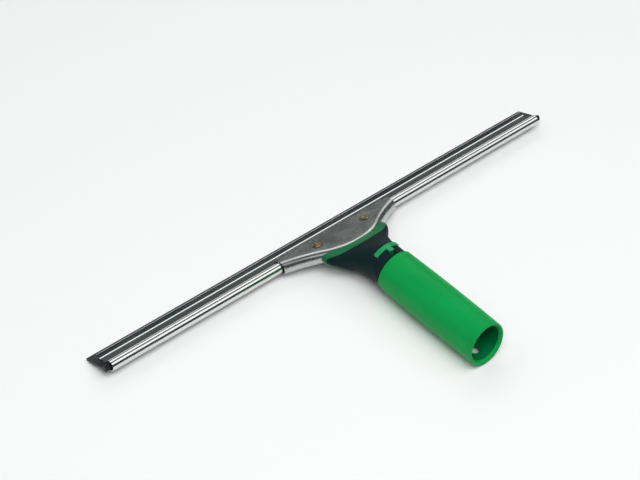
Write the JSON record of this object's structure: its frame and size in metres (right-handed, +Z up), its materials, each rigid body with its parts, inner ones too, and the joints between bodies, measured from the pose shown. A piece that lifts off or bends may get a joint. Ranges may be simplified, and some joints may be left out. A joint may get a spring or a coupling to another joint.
{
  "type": "window cleaning squeegee",
  "caption": "Window cleaning squeegee: rubber blade in a steel channel that slides in a riveted jaw, on a green socket handle with a sprung release tab.",
  "frame": {"origin": "on the handle's axis where the slanted mouth of the pole socket crosses it", "axes": "+Y along the handle's axis towards the blade, +X along the blade channel, +Z up to the side with the release tab; the blade's plane drops 21 degrees from the handle's axis"},
  "size_m": [0.46, 0.187, 0.0394],
  "materials": {
    "channel_steel": "polished stainless steel, faint drawing lines along its length",
    "blade_rubber": "smooth black rubber, dull",
    "jaw_steel": "satin stainless steel, polished at the bends",
    "rivet_brass": "dull brass, worn",
    "core_plastic": "moulded green plastic, satin",
    "neck_soft": "soft blue-black overmould, matt",
    "grip_soft": "soft green grip, satin with a fine moulded grain",
    "plug_plastic": "moulded green plastic",
    "tab_plastic": "moulded green plastic, satin",
    "pin_steel": "ground steel",
    "bar_plastic": "dark acetal",
    "tooth_brass": "machined brass",
    "spring_steel": "drawn spring wire"
  },
  "bodies": {
    "handle": {"handle_core": "core_plastic", "neck_overmould": "neck_soft", "grip_sleeve": "grip_soft", "socket_plug": "plug_plastic", "jaw_upper_shell": "jaw_steel", "jaw_lower_shell": "jaw_steel", "jaw_rivet_left": "rivet_brass", "jaw_rivet_right": "rivet_brass", "spring_washer": "pin_steel"},
    "release": {"release_tab": "tab_plastic"},
    "lock": {"lock_bar": "bar_plastic", "lock_rod": "pin_steel", "lock_tooth_left": "tooth_brass", "lock_tooth_right": "tooth_brass", "tooth_pin_left": "pin_steel", "tooth_pin_right": "pin_steel", "tab_pin": "pin_steel", "lock_spring": "spring_steel"},
    "channel": {"blade_channel": "channel_steel"},
    "rubber": {"rubber_blade": "blade_rubber"}
  },
  "joints": [
    {"name": "release_pull", "type": "slide", "parent": "handle", "child": "release", "axis": [0, -1, 0], "range_m": [0, 0.003], "stiffness_N_per_m": 1500, "springref_m": -0.004},
    {"name": "lock_draw", "type": "slide", "parent": "handle", "child": "lock", "axis": [0, -0.9336, 0.3584], "range_m": [0, 0.00322], "deforming": ["lock_spring"]},
    {"name": "channel_slide", "type": "slide", "parent": "handle", "child": "channel", "axis": [1, 0, 0], "range_m": [-0.17, 0.16]},
    {"name": "rubber_slide", "type": "slide", "parent": "channel", "child": "rubber", "axis": [1, 0, 0], "range_m": [0, 0.43]}
  ],
  "couplings": [
    {"joint": "lock_draw", "follows": "release_pull", "ratio": 1.0711}
  ]
}
